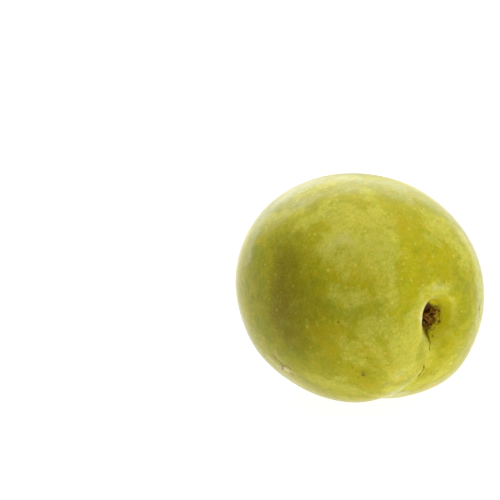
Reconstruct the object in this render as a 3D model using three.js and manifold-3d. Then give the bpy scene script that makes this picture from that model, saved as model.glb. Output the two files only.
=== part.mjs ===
// A whole plum of the greengage kind, picked without its stalk and lying on its side.
// Millimetres, +Z up. The stalk axis runs along X with the stalk hollow at +X, the suture
// runs along the underside towards the near cheek (-Y), and the plum rests at Z = 0 on a
// small flat spot beside the suture.
import * as THREE from "three";
import { mergeVertices } from "three/addons/utils/BufferGeometryUtils.js";
import Module from "manifold-3d";

const wasm = await Module();
wasm.setup();

// ---- Driving dimensions ----------------------------------------------------------------

const cheekWidth = 42.5; // across the two cheeks
const sutureWidth = 41.0; // from the suture to the back, before the suture is sunk
const stalkReach = 23.0; // from the belly to the stalk end, before the hollow is sunk
const tipReach = 26.3; // from the belly to the blossom end
const stalkFullness = 2.18; // exponent of the outline at the stalk end: 2 is an ellipse
const tipFullness = 1.94; // exponent of the outline at the blossom end
const taper = 0.01; // how much wider the stalk half is than the blossom half, as a share

// The hollow that the stalk grew in. Its wall is steep on the near cheek and gentle on
// the far one.
const hollow = {
  depth: 3.6,
  floor: 1.8, // radius of its level floor
  nearRadius: 3.6, // distance from the stalk axis at which its wall is half way down
  farRadius: 3.7,
  nearSteepness: 4.5,
  farSteepness: 2.7,
};

// The suture: a narrow valley from the stalk hollow to the blossom end.
const suture = {
  depth: 1.23,
  stalkDepth: 1.1, // extra depth where it opens into the hollow
  stalkFade: 0.05, // share of the way to the tip over which that extra depth fades
  reach: 3.0, // how quickly its banks rise
  bed: 0.35, // rounding of its bed
  stalkBed: 1.0, // extra rounding where it opens into the hollow
  stalkBedFade: 0.07, // share of the way to the tip over which that rounding fades
  sway: 0.13, // how far it wanders off the meridian
  swayTurns: 1.1, // how often it wanders to and fro on the way to the tip
  start: 1.5, // distance from the stalk axis at which it begins
  fullFrom: 4.0, // distance from the stalk axis at which it has its full depth
};

// The flesh swells on the near bank of the suture and falls away on the far one.
const bank = { near: 0.58, far: -0.28, out: 6.5, spread: 5.0, clear: 2.0 };
const back = { swell: 0.23, spread: 0.5 }; // the back, opposite the suture

// Where the flesh stands out of the egg, or falls short of it: height, angle from the stalk
// axis and turn from the suture in degrees, and width on a sphere of radius 1.
const bulges = {
  farShoulder: { height: 0.74, polar: 47.5, turn: 38, width: 0.31 },
  nearHip: { height: 0.56, polar: 112, turn: -38, width: 0.38 },
  farBrow: { height: -0.29, polar: 62, turn: 138, width: 0.46 },
};
const tipDimple = { depth: 0.55, radius: 1.6 }; // where the flower's style fell off

const roll = THREE.MathUtils.degToRad(-10.6); // how the plum is turned about its stalk axis
const flatDepth = 0.45; // how much of the round underside the resting spot takes off

// The torn corky base of the stalk, left on the floor of the hollow.
const scar = {
  radius: 1.95,
  thickness: 0.8,
  edge: 0.35, // rounding of its rim
  gap: 0.3, // clear of the hollow's floor
  lobes: 7,
  raggedness: 0.14, // how far the rim wanders in and out
};

// ---- Mesh density ----------------------------------------------------------------------

const columns = 64; // round the stalk axis
const crowding = 0.5; // how much closer together the columns stand at the suture
const hollowRings = 14; // rings across the hollow
const bodyRings = 30; // rings over the rest
const hollowEdge = 0.3; // radians from the stalk axis at which the hollow's rings end
const scarColumns = 4 * scar.lobes;

// ---- The skin --------------------------------------------------------------------------

const smooth = (t) => t * t * (3 - 2 * t);
const smoothStep = (t, from, to) => smooth(THREE.MathUtils.clamp((t - from) / (to - from), 0, 1));

// A plain egg with no suture or hollow.
function eggPoint(polar, turn) {
  const along = Math.cos(polar);
  const fullness = tipFullness + (stalkFullness - tipFullness) * smooth((1 + along) / 2);
  const reach = along > 0 ? stalkReach : tipReach;
  const ring = Math.abs(Math.sin(polar)) ** (2 / fullness) * (1 + taper * along);
  return new THREE.Vector3(
    reach * Math.sign(along) * Math.abs(along) ** (2 / fullness),
    (ring * cheekWidth * Math.sin(turn)) / 2,
    (-ring * sutureWidth * Math.cos(turn)) / 2,
  );
}

// The direction from the belly at a polar angle and turn.
function direction(polar, turn) {
  const out = Math.sin(polar);
  return new THREE.Vector3(Math.cos(polar), out * Math.sin(turn), -out * Math.cos(turn));
}

function bulgeHeight(polar, turn) {
  const here = direction(polar, turn);
  let height = 0;
  for (const bulge of Object.values(bulges)) {
    const middle = direction(
      THREE.MathUtils.degToRad(bulge.polar),
      THREE.MathUtils.degToRad(bulge.turn),
    );
    height += bulge.height * Math.exp(-here.distanceToSquared(middle) / bulge.width ** 2);
  }
  return height;
}

// How far the skin stands out of the plain egg at p: the suture, its banks, the back and
// the bulges.
function swell(p, polar, turn) {
  const out = Math.sin(polar);
  const share = (1 - Math.cos(polar)) / 2; // 0 at the stalk end, 1 at the tip
  const under = Math.max(0, Math.cos(turn)) ** 0.7;
  const fromSuture = p.y + suture.sway * Math.cos(2 * Math.PI * suture.swayTurns * share);

  const opened = smoothStep(Math.hypot(p.y, p.z), suture.start, suture.fullFrom);
  const depth =
    suture.depth * Math.sqrt(Math.max(0, Math.sin(Math.PI * share))) +
    suture.stalkDepth * Math.exp(-share / suture.stalkFade);
  const bed = suture.bed + suture.stalkBed * Math.exp(-share / suture.stalkBedFade);
  const rise = Math.hypot(fromSuture, bed) - bed;
  const valley = opened * depth * Math.exp(-rise / suture.reach);

  const bankHeight = fromSuture < 0 ? bank.near : bank.far;
  const bankShape =
    Math.exp(-(((Math.abs(fromSuture) - bank.out) / bank.spread) ** 2)) *
    (1 - Math.exp(-((fromSuture / bank.clear) ** 2)));

  const backShape = Math.exp(-(((Math.cos(turn) + 1) / back.spread) ** 2));
  const alongSuture = under * (bankHeight * bankShape * out - valley);
  return alongSuture + back.swell * backShape * out + bulgeHeight(polar, turn);
}

// How deep the stalk hollow is at a distance from the stalk axis, on the side given from
// -1 on the near cheek to 1 on the far one.
function hollowDepth(fromAxis, side) {
  const far = (1 + side) / 2;
  const steepness = THREE.MathUtils.lerp(hollow.nearSteepness, hollow.farSteepness, far);
  const radius = THREE.MathUtils.lerp(hollow.nearRadius, hollow.farRadius, far);
  const upTheWall = Math.max(0, fromAxis - hollow.floor) / (radius - hollow.floor);
  return hollow.depth / (1 + upTheWall ** steepness);
}

// A point of the skin. polar runs from 0 at the stalk end to PI at the tip; turn runs
// round the stalk axis from 0 at the suture, and is positive towards the far cheek.
function skinPoint(polar, turn) {
  const p = eggPoint(polar, turn);
  const outward = new THREE.Vector3(
    p.x / stalkReach ** 2,
    p.y / (cheekWidth / 2) ** 2,
    p.z / (sutureWidth / 2) ** 2,
  ).normalize();
  p.addScaledVector(outward, swell(p, polar, turn));

  const fromAxis = Math.hypot(p.y, p.z);
  if (p.x > 0) {
    p.x -= hollowDepth(fromAxis, p.y / Math.max(fromAxis, 1e-6));
  } else {
    p.x += tipDimple.depth * Math.exp(-((fromAxis / tipDimple.radius) ** 2));
  }
  return p;
}

// A lathe round a unit sphere, from the tip to the stalk end, whose points are then each
// set on the skin by their polar angle and turn.
function skinGeometry() {
  const rings = hollowRings + bodyRings;
  const outline = [];
  for (let i = rings; i >= 0; i--) {
    const polar =
      i <= hollowRings
        ? (hollowEdge * i) / hollowRings
        : hollowEdge + ((Math.PI - hollowEdge) * (i - hollowRings)) / bodyRings;
    const onAxis = i === 0 || i === rings;
    outline.push(new THREE.Vector2(onAxis ? 0 : Math.sin(polar), Math.cos(polar)));
  }
  const geometry = new THREE.LatheGeometry(outline, columns);
  const position = geometry.getAttribute("position");
  const v = new THREE.Vector3();
  for (let i = 0; i < position.count; i++) {
    v.fromBufferAttribute(position, i);
    const polar = Math.acos(THREE.MathUtils.clamp(v.y, -1, 1));
    const evenTurn = Math.atan2(v.x, v.z);
    position.setXYZ(i, ...skinPoint(polar, evenTurn - crowding * Math.sin(evenTurn)));
  }
  return geometry;
}

// ---- The fruit: the skin, set down and cut flat ----------------------------------------

// A closed geometry as a manifold-3d solid.
function toSolid(geometry) {
  const bare = geometry.clone();
  bare.deleteAttribute("normal");
  bare.deleteAttribute("uv");
  const merged = mergeVertices(bare, 1e-4);
  return new wasm.Manifold(
    new wasm.Mesh({
      numProp: 3,
      vertProperties: merged.getAttribute("position").array,
      triVerts: new Uint32Array(merged.index.array),
    }),
  );
}

function toGeometry(solid) {
  const mesh = solid.getMesh();
  const geometry = new THREE.BufferGeometry();
  geometry.setAttribute("position", new THREE.BufferAttribute(mesh.vertProperties, 3));
  geometry.setIndex(new THREE.BufferAttribute(mesh.triVerts, 1));
  geometry.computeVertexNormals();
  return geometry;
}

// Rolled about its stalk axis, centred over the origin, and lowered so that the resting
// spot can be cut off it at Z = 0.
const skin = skinGeometry().rotateX(roll);
skin.computeBoundingBox();
const rolled = skin.boundingBox;
const setDown = new THREE.Vector3(
  -(rolled.min.x + rolled.max.x) / 2,
  -(rolled.min.y + rolled.max.y) / 2,
  -rolled.min.z - flatDepth,
);
skin.translate(...setDown);

const slabSize = 100;
const slab = new THREE.BoxGeometry(slabSize, slabSize, slabSize).translate(0, 0, -slabSize / 2);
const fruit = new THREE.Mesh(
  toGeometry(toSolid(skin).subtract(toSolid(slab))),
  new THREE.MeshStandardMaterial({ color: 0xb4ad33, roughness: 0.42, metalness: 0 }),
);
fruit.name = "fruit";

// ---- The stalk scar --------------------------------------------------------------------

// A thick corky disc with a ragged rim and a slightly sunken middle.
function scarGeometry() {
  const outline = new THREE.Path();
  outline.moveTo(0, 0);
  outline.lineTo(scar.radius - scar.edge, 0);
  outline.quadraticCurveTo(scar.radius, 0, scar.radius, scar.edge);
  outline.quadraticCurveTo(
    scar.radius,
    scar.thickness,
    scar.radius - 3 * scar.edge,
    scar.thickness,
  );
  outline.lineTo(0, scar.thickness * 0.8);
  const geometry = new THREE.LatheGeometry(outline.getPoints(3), scarColumns);
  const position = geometry.getAttribute("position");
  for (let i = 0; i < position.count; i++) {
    const x = position.getX(i);
    const z = position.getZ(i);
    const outwards = Math.hypot(x, z) / scar.radius;
    const ragged = scar.raggedness * Math.sin(scar.lobes * Math.atan2(z, x));
    const stretch = 1 + (ragged / scar.radius) * smooth(Math.min(1, outwards));
    position.setX(i, x * stretch);
    position.setZ(i, z * stretch);
  }
  return geometry.rotateZ(-Math.PI / 2); // its thickness along +X, out of the hollow
}

const stalkScar = new THREE.Mesh(
  scarGeometry(),
  new THREE.MeshStandardMaterial({ color: 0x5e3f1c, roughness: 0.85, metalness: 0 }),
);
stalkScar.name = "stalk_scar";
stalkScar.position.copy(setDown);
stalkScar.position.x += skinPoint(0, 0).x + scar.gap;

// ---- Assembly --------------------------------------------------------------------------

const plum = new THREE.Group();
plum.add(fruit, stalkScar);

export default plum;
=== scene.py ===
import random
from math import acos, atan2, cos, exp, hypot, pi, radians, sin, sqrt

import bmesh
import bpy
import numpy as np
from mathutils import Matrix, Vector, noise
from mathutils.bvhtree import BVHTree


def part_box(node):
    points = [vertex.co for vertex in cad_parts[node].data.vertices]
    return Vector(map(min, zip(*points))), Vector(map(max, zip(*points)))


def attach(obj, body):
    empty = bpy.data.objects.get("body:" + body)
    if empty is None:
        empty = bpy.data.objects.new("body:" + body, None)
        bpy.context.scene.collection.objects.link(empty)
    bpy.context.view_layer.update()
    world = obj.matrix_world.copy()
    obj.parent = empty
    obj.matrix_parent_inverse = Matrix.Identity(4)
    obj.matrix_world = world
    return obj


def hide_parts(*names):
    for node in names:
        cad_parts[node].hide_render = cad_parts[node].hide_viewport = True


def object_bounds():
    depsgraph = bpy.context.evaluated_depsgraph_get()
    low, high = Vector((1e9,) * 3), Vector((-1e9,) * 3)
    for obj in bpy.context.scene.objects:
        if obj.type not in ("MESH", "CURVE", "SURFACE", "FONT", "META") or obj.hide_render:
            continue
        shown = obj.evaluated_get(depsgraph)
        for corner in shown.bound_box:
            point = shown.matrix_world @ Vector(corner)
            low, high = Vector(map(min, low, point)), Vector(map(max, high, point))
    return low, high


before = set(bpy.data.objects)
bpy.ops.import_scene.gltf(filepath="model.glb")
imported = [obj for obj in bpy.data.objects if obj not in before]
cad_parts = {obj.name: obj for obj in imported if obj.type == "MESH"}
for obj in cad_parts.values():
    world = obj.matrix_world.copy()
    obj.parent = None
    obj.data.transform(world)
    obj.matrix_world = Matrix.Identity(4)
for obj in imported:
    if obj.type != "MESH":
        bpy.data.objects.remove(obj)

# A whole plum of the greengage kind, picked without its stalk, lying on a white table.
# +X is the stalk axis, stalk end in front. The suture is underneath and the near cheek at -Y.

cadLow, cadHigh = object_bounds()
scene = bpy.context.scene
random.seed(7)
mm = 0.001
farOff = 50                    # in mm, stands for anywhere away from the hollow or the split


def smooth(t):
    return t * t * (3 - 2 * t)


def smoothStep(t, start, end):
    return smooth(min(1, max(0, (t - start) / (end - start))))


def newObject(name, bm):
    mesh = bpy.data.meshes.new(name)
    bm.to_mesh(mesh)
    bm.free()
    mesh.polygons.foreach_set("use_smooth", [True] * len(mesh.polygons))
    obj = bpy.data.objects.new(name, mesh)
    scene.collection.objects.link(obj)
    return obj


# The skin is an egg shape with a suture, a stalk hollow and a resting spot.

plum = {
    "cheekWidth": 42.5 * mm,
    "sutureWidth": 41.0 * mm,
    "stalkReach": 23.0 * mm,   # belly to stalk end, before the hollow
    "tipReach": 26.3 * mm,
    "stalkFullness": 2.18,     # 2 is an ellipse
    "tipFullness": 1.94,
    "taper": 0.01,
    "roll": radians(-10.6),    # how it lies, turned about its stalk axis
    "flatDepth": 0.45 * mm,    # what the resting spot takes off
    "flatEdge": 0.10 * mm,
    "columns": 300,            # round the stalk axis
    "rings": 230,
    "columnCrowding": 0.6,     # closer together at the suture
    "ringCrowding": 0.75,      # closer together at the stalk end
    "tipDimple": 0.55 * mm,
    "tipDimpleRadius": 1.6 * mm,
    "backSwell": 0.23 * mm,
    "backSpread": 0.5,
    "lumpHeight": 0.12 * mm,   # broad unevenness of the flesh
    "lumpLength": 9 * mm,
    "lumpSeed": Vector((3.1, 7.7, 1.3)),
    "lumpFrom": 4 * mm,        # no lumps nearer to the stalk axis than this
    "lumpFull": 9 * mm,
}

# Where the flesh stands out of the egg or falls short of it: height, angle from the stalk
# axis, turn from the suture, width on a sphere of radius 1.
bulges = {
    "farShoulder": (0.74 * mm, radians(47.5), radians(38), 0.31),
    "nearHip": (0.56 * mm, radians(112), radians(-38), 0.38),
    "farBrow": (-0.29 * mm, radians(62), radians(138), 0.46),
}

hollow = {
    "depth": 3.6 * mm,
    "floor": 1.8 * mm,
    "nearRadius": 3.6 * mm,    # where its wall is half way down
    "farRadius": 3.7 * mm,
    "nearSteepness": 4.5,
    "farSteepness": 2.7,
    "waver": 0.05,             # share that its radius wanders
    "waves": ((2, 0.6, 1.0), (3, 2.0, 0.6)),   # turns, phase, share
    "lip": 0.12 * mm,          # the near rim stands up a little
    "lipAt": 4.9 * mm,
    "lipWidth": 0.9 * mm,
}

suture = {
    "depth": 1.23 * mm,
    "stalkDepth": 1.1 * mm,
    "stalkFade": 0.05,
    "reach": 3.0 * mm,
    "bed": 0.35 * mm,
    "stalkBed": 1.0 * mm,      # its bed is rounder near the hollow
    "stalkBedFade": 0.07,
    "sway": 0.13 * mm,
    "swayTurns": 1.1,
    "start": 1.5 * mm,
    "fullFrom": 4.0 * mm,
    "nearBank": 0.58 * mm,
    "farBank": -0.28 * mm,
    "bankOut": 6.5 * mm,
    "bankSpread": 5.0 * mm,
    "bankClear": 2.0 * mm,
    "underFade": 0.7,          # how it fades out round the sides
    "crackDepth": 0.22 * mm,   # the dry split that runs out of the hollow
    "crackWidth": 0.16 * mm,
    "crackEnd": 6.4 * mm,      # distance from the stalk axis where it closes
    "crackNarrows": 0.6,       # share of that distance where it starts to
    "crackShift": 0.45 * mm,   # how far beyond the suture it starts
    "crackShiftFrom": 3.0 * mm,
    "crackShiftTo": 5.6 * mm,
}


def eggPoint(polar, turn):
    along = cos(polar)
    share = smooth((1 + along) / 2)
    fullness = plum["tipFullness"] + (plum["stalkFullness"] - plum["tipFullness"]) * share
    reach = plum["stalkReach"] if along > 0 else -plum["tipReach"]
    ring = abs(sin(polar)) ** (2 / fullness) * (1 + plum["taper"] * along)
    return Vector((
        reach * abs(along) ** (2 / fullness),
        ring * plum["cheekWidth"] / 2 * sin(turn),
        -ring * plum["sutureWidth"] / 2 * cos(turn),
    ))


def outward(p):
    return Vector((
        p.x / plum["stalkReach"] ** 2,
        p.y / (plum["cheekWidth"] / 2) ** 2,
        p.z / (plum["sutureWidth"] / 2) ** 2,
    )).normalized()


def fromSuture(p, polar):
    share = (1 - cos(polar)) / 2
    return p.y + suture["sway"] * cos(2 * pi * suture["swayTurns"] * share)


def fromCrack(off, fromAxis):
    back = 1 - smoothStep(fromAxis, suture["crackShiftFrom"], suture["crackShiftTo"])
    return off - suture["crackShift"] * back


def direction(polar, turn):
    return Vector((cos(polar), sin(polar) * sin(turn), -sin(polar) * cos(turn)))


def bulgeHeight(polar, turn):
    here = direction(polar, turn)
    total = 0
    for height, bulgePolar, bulgeTurn, width in bulges.values():
        gap = here - direction(bulgePolar, bulgeTurn)
        total += height * exp(-gap.length_squared / width ** 2)
    return total


def swell(p, polar, turn):
    # how far the skin stands out of the plain egg: suture, its banks, the back and the bulges
    out = sin(polar)
    share = (1 - cos(polar)) / 2
    under = max(0, cos(turn)) ** suture["underFade"]
    off = fromSuture(p, polar)
    fromAxis = hypot(p.y, p.z)
    depth = suture["depth"] * sqrt(max(0, sin(pi * share)))
    depth += suture["stalkDepth"] * exp(-share / suture["stalkFade"])
    bed = suture["bed"] + suture["stalkBed"] * exp(-share / suture["stalkBedFade"])
    rise = hypot(off, bed) - bed
    opened = smoothStep(fromAxis, suture["start"], suture["fullFrom"])
    valley = opened * depth * exp(-rise / suture["reach"])
    crackGap = fromCrack(off, fromAxis) / suture["crackWidth"]
    crack = suture["crackDepth"] * exp(-crackGap ** 2) * opened
    crack *= 1 - smoothStep(fromAxis, suture["crackNarrows"] * suture["crackEnd"], suture["crackEnd"])
    bankHeight = suture["nearBank"] if off < 0 else suture["farBank"]
    bankShape = exp(-((abs(off) - suture["bankOut"]) / suture["bankSpread"]) ** 2)
    bankShape *= 1 - exp(-(off / suture["bankClear"]) ** 2)
    backShape = exp(-((cos(turn) + 1) / plum["backSpread"]) ** 2)
    alongSuture = under * (bankHeight * bankShape * out - valley - crack)
    return alongSuture + plum["backSwell"] * backShape * out + bulgeHeight(polar, turn)


def wellShare(fromAxis, angle):
    # 1 on the floor of the hollow, 0 far up its wall
    far = (1 + sin(angle)) / 2
    steepness = hollow["nearSteepness"] + (hollow["farSteepness"] - hollow["nearSteepness"]) * far
    waver = sum(part * sin(turns * angle + phase) for turns, phase, part in hollow["waves"])
    radius = hollow["nearRadius"] + (hollow["farRadius"] - hollow["nearRadius"]) * far
    radius *= 1 + hollow["waver"] * waver
    upTheWall = max(0, fromAxis - hollow["floor"]) / (radius - hollow["floor"])
    return 1 / (1 + upTheWall ** steepness)


def hollowDepth(fromAxis, angle):
    lip = hollow["lip"] * exp(-((fromAxis - hollow["lipAt"]) / hollow["lipWidth"]) ** 2)
    return hollow["depth"] * wellShare(fromAxis, angle) - lip * (1 - sin(angle)) / 2


def skinPoint(polar, turn):
    p = eggPoint(polar, turn)
    p += outward(p) * swell(p, polar, turn)
    fromAxis = hypot(p.y, p.z)
    if p.x > 0:
        p.x -= hollowDepth(fromAxis, atan2(p.y, -p.z))
    else:
        p.x += plum["tipDimple"] * exp(-(fromAxis / plum["tipDimpleRadius"]) ** 2)
    lump = noise.noise(p / plum["lumpLength"] + plum["lumpSeed"])
    away = smoothStep(fromAxis, plum["lumpFrom"], plum["lumpFull"]) if p.x > 0 else 1
    return p + outward(p) * plum["lumpHeight"] * lump * away


def restOn(z):
    # presses flat what is below the table, with a rounded edge
    return (z + sqrt(z * z + plum["flatEdge"] ** 2)) / 2


def makeSkin():
    bm = bmesh.new()
    bmesh.ops.create_uvsphere(bm, u_segments=plum["columns"], v_segments=plum["rings"], radius=1)
    bmesh.ops.rotate(bm, verts=bm.verts, matrix=Matrix.Rotation(radians(90), 3, "Y"))
    offLayer = bm.verts.layers.float.new("fromCrack")       # in mm, negative on the near bank
    axisLayer = bm.verts.layers.float.new("fromAxis")       # in mm, from the stalk axis
    wellLayer = bm.verts.layers.float.new("hollow")
    for v in bm.verts:
        share = acos(min(1, max(-1, v.co.x))) / pi
        polar = pi * ((1 - plum["ringCrowding"]) * share + plum["ringCrowding"] * share * share)
        evenTurn = atan2(v.co.y, -v.co.z) if hypot(v.co.y, v.co.z) > 1e-5 else 0
        turn = evenTurn - plum["columnCrowding"] * sin(evenTurn)
        v.co = skinPoint(polar, turn)
        fromAxis = hypot(v.co.y, v.co.z)
        off = fromCrack(fromSuture(v.co, polar), fromAxis) / mm
        v[offLayer] = off if cos(turn) > 0 else farOff
        v[axisLayer] = fromAxis / mm if v.co.x > 0 else farOff
        v[wellLayer] = wellShare(fromAxis, atan2(v.co.y, -v.co.z)) if v.co.x > 0 else 0
    bmesh.ops.rotate(bm, verts=bm.verts, matrix=Matrix.Rotation(plum["roll"], 3, "X"))
    xs, ys, zs = zip(*(v.co for v in bm.verts))
    middle = (cadLow + cadHigh) / 2
    belly = Vector((
        middle.x - (min(xs) + max(xs)) / 2,
        middle.y - (min(ys) + max(ys)) / 2,
        cadLow.z - min(zs) - plum["flatDepth"],
    ))
    bmesh.ops.translate(bm, verts=bm.verts, vec=belly)
    for v in bm.verts:
        v.co.z = restOn(v.co.z)
    bmesh.ops.recalc_face_normals(bm, faces=bm.faces)
    tree = BVHTree.FromBMesh(bm)
    return newObject("plum_skin", bm), belly, tree


skin, belly, skinTree = makeSkin()      # belly: the point on the stalk axis at the widest ring
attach(skin, "root")
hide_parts("fruit")
print("skin:", len(skin.data.polygons), "faces")


cameraSetup = {
    "azimuth": radians(55.08),
    "elevation": radians(16.12),
    "distance": 304.6 * mm,    # from the belly
    "lens": 120,
    "sensor": 36,
    "clipStart": 0.01,
    "bellyRight": 20.07 * mm,  # how far the belly is right of the middle of the frame
    "bellyDown": 6.90 * mm,
    "frameSize": 500,          # pixels, for what is placed in the frame
    "plumMiddle": (359, 287),  # where the plum's middle is in the frame
    "drawIn": 0.01,            # share of the way there, for a pixel just past the plum's edge
    "mostDraws": 100,
}


def cameraAxes():
    a, e = cameraSetup["azimuth"], cameraSetup["elevation"]
    back = Vector((sin(a) * cos(e), -cos(a) * cos(e), sin(e)))
    right = Vector((cos(a), sin(a), 0))
    return right, back.cross(right), back


def makeCamera():
    data = bpy.data.cameras.new("camera")
    data.lens = cameraSetup["lens"]
    data.sensor_width = cameraSetup["sensor"]
    data.clip_start = cameraSetup["clipStart"]
    camera = bpy.data.objects.new("camera", data)
    scene.collection.objects.link(camera)
    right, up, back = cameraAxes()
    camera.location = belly + back * cameraSetup["distance"]
    camera.location += up * cameraSetup["bellyDown"] - right * cameraSetup["bellyRight"]
    camera.rotation_euler = Matrix((right, up, back)).transposed().to_euler()
    scene.camera = camera
    return camera


camera = makeCamera()


def onSkin(across, down):
    # where the line of sight through that pixel meets the skin
    right, up, back = cameraAxes()
    perPixel = cameraSetup["sensor"] / cameraSetup["lens"] / cameraSetup["frameSize"]
    middle = cameraSetup["frameSize"] / 2
    for draws in range(cameraSetup["mostDraws"]):
        sight = right * (across - middle) * perPixel + up * (middle - down) * perPixel - back
        place = skinTree.ray_cast(camera.location, sight.normalized())[0]
        if place is not None:
            return place
        across += cameraSetup["drawIn"] * (cameraSetup["plumMiddle"][0] - across)
        down += cameraSetup["drawIn"] * (cameraSetup["plumMiddle"][1] - down)
    raise ValueError("no skin at that pixel")


# The skin's broad soft patches are strokes, listed and held as values on its mesh.
# Each stroke: its two ends, across and down in the camera's frame, half width in its pixels,
# strength.

bloomStrokes = [
    ((326, 246), (340, 238), 11, 0.95), ((352, 246), (372, 240), 10, 0.80),
    ((330, 228), (345, 218), 10, 0.80), ((340, 205), (332, 222), 9, 0.45),
    ((345, 212), (385, 224), 13, 0.60), ((345, 232), (392, 248), 12, 0.70),
    ((372, 255), (388, 275), 10, 0.75), ((345, 262), (375, 262), 12, 0.45),
    ((387, 250), (388, 297), 9, 0.80), ((336, 292), (352, 296), 9, 0.75),
    ((355, 300), (390, 300), 9, 0.65), ((350, 275), (370, 285), 10, 0.30),
    ((345, 318), (365, 330), 11, 0.45), ((338, 338), (352, 350), 8, 0.60),
    ((375, 318), (400, 340), 13, 0.60), ((366, 345), (385, 370), 10, 0.70),
    ((421, 371), (402, 389), 4, 0.80), ((400, 345), (408, 372), 12, 0.90),
    ((412, 318), (414, 350), 8, 0.80), ((385, 378), (402, 372), 10, 0.80),
    ((312, 378), (352, 390), 9, 0.75), ((388, 390), (412, 387), 7, 0.90),
    ((352, 390), (385, 395), 5, 0.45), ((300, 195), (330, 184), 10, 0.80),
    ((335, 180), (415, 188), 9, 0.75), ((262, 222), (300, 210), 9, 0.60),
    ((298, 230), (322, 214), 10, 0.75), ((435, 228), (462, 255), 14, 0.82),
    ((462, 235), (480, 290), 10, 0.70), ((482, 290), (479, 325), 7, 0.50),
    ((425, 213), (445, 222), 9, 0.50), ((434, 289), (446, 288), 7, 0.70),
    # The strokes from (447, 295.5) round to (451, 323) pale the far rim of the hollow: bloom, and a
    # painted highlight along its crest.
    ((447, 295.5), (452.5, 299.5), 2.5, 0.60), ((452.5, 299.5), (454, 310), 2.5, 0.65),
    ((454, 310), (451, 323), 3, 0.50), ((458, 345), (440, 372), 9, 0.40),
    ((422, 382), (442, 373), 8, 0.60), ((431, 350), (435, 366), 6, 0.45),
    ((424, 236), (438, 244), 5, 0.80), ((426, 345), (428, 365), 5, 0.50),
    # The strokes from (424, 290) down to (419, 336) lighten the near lip of the hollow: bloom, and
    # painted light where its shoulder turns to the light.
    ((423, 302), (417, 318), 6, 0.85), ((417, 318), (419, 336), 6, 0.80),
    ((424, 290), (418, 302), 7, 0.60), ((404, 262), (410, 298), 7, 0.35),
    ((321, 214), (330, 197), 6, 0.60), ((366, 190), (376, 211), 8, 0.80),
    ((393, 238), (406, 241), 7, 0.85), ((328, 252), (338, 262), 7, 0.60),
    ((436, 342), (450, 332), 6, 0.50), ((345, 356), (375, 368), 5, 0.50),
    ((334, 380), (344, 378), 5, 0.60), ((454, 306), (456, 326), 5, 0.40),
    ((275, 216), (292, 218), 5, 0.40), ((350, 216), (380, 230), 9, 0.40),
    ((340, 396), (392, 398), 4, 0.50),
]
wipedStrokes = [
    ((345, 198), (365, 204), 7, 0.90), ((384, 200), (425, 206), 9, 0.95),
    ((300, 203), (322, 200), 6, 0.50), ((404, 222), (405, 236), 7, 0.80),
    ((410, 245), (440, 262), 11, 1.00), ((405, 265), (412, 298), 8, 1.00),
    ((418, 222), (415, 240), 8, 0.90), ((438, 270), (446, 276), 6, 0.70),
    ((285, 240), (305, 236), 12, 0.90), ((285, 262), (300, 330), 16, 1.00),
    ((318, 322), (335, 330), 9, 0.90), ((300, 340), (335, 365), 11, 0.90),
    ((358, 372), (378, 386), 9, 0.95), ((440, 338), (450, 355), 7, 0.30),
    ((355, 312), (375, 306), 7, 0.60), ((350, 284), (372, 292), 7, 0.50),
    ((446, 246), (456, 256), 7, 0.70), ((366, 350), (384, 378), 6, 0.60),
    ((320, 224), (328, 228), 5, 0.60), ((384, 272), (386, 308), 5, 0.45),
    ((386, 366), (410, 376), 5, 0.50), ((324, 282), (345, 289), 7, 0.70),
    ((340, 316), (352, 322), 6, 0.60),
]
# Pale frost of thick bloom and painted rim light along the skin's edge as the camera sees it, with a
# painted highlight at the bottom notch.
frostAndRimLightStrokes = [
    ((248, 258), (262, 222), 10, 0.22), ((264, 216), (284, 198), 15, 0.38),
    ((284, 198), (306, 186), 15, 0.34), ((272, 224), (300, 204), 13, 0.17),
    ((306, 186), (345, 178.5), 15, 0.29), ((345, 178.5), (396, 186), 13, 0.25),
    ((300, 204), (350, 189), 11, 0.13), ((350, 189), (410, 201), 11, 0.12),
    ((396, 186), (434, 206), 9, 0.19), ((444, 213), (462, 237), 8, 0.18),
    ((466, 240), (480, 282), 8, 0.20), ((478, 284), (477, 322), 7, 0.22),
    ((473, 334), (457, 363), 7, 0.14), ((454, 372), (432, 384), 5, 0.15),
    ((388, 396), (404, 393), 5, 0.50), ((433, 288), (444, 287), 4, 0.15),
    ((328, 247), (344, 238), 9, 0.13), ((438, 218), (458, 241), 9, 0.07),
    ((355, 244), (372, 240), 7, 0.05), ((388, 384), (402, 372), 8, 0.12),
]
limeStrokes = [
    ((404, 250), (412, 300), 10, 0.80), ((402, 286), (406, 318), 8, 0.60),
    ((412, 238), (440, 256), 10, 0.55), ((366, 190), (384, 208), 7, 0.50),
    ((392, 232), (402, 246), 6, 0.50), ((432, 262), (434, 284), 5, 0.50),
    ((466, 316), (471, 330), 4, 0.40), ((426, 342), (434, 366), 6, 0.50),
    ((326, 202), (330, 212), 5, 0.40), ((350, 200), (356, 216), 6, 0.30),
    ((471, 290), (472, 328), 6, 0.45), ((335, 391), (400, 395), 6, 0.55),
    ((440, 330), (450, 336), 6, 0.40), ((444, 300), (454, 314), 5, 0.25),
    ((470, 340), (450, 371), 6, 0.50), ((280, 222), (290, 220), 6, 0.40),
]
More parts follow.
